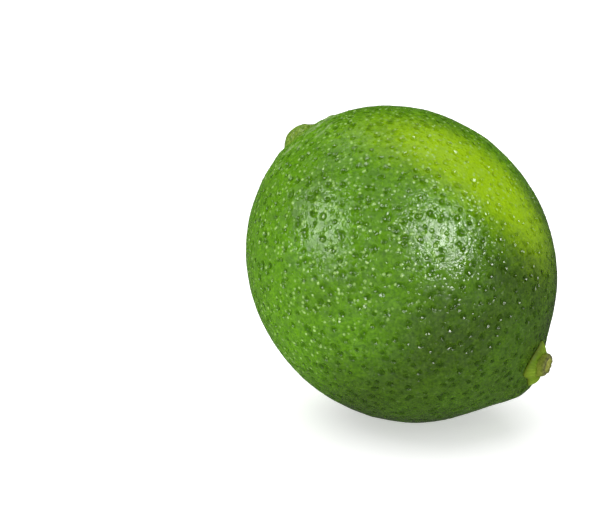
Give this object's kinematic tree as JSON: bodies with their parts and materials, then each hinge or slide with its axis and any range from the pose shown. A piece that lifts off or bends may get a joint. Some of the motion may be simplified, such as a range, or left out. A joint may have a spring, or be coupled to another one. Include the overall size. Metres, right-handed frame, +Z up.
{
  "type": "lime",
  "caption": "Whole round-oval lime with a low nipple, resting on a small flat spot, with its star-shaped calyx and a stub of stem.",
  "frame": {"origin": "on the resting surface, under the middle of the bounding box", "axes": "+Z up from the flat spot; the fruit's own axis lies over the X axis, with the nipple raised to -X and the stem end low at +X, turned a little towards -Y"},
  "size_m": [0.0566, 0.054, 0.0562],
  "materials": {
    "rind": "waxy gloss, pitted with oil glands",
    "calyx_green": "satin, finely ribbed",
    "stub_olive": "dry matt"
  },
  "bodies": {
    "root": {"fruit": "rind", "calyx": "calyx_green", "stem_stub": "stub_olive"}
  },
  "joints": []
}
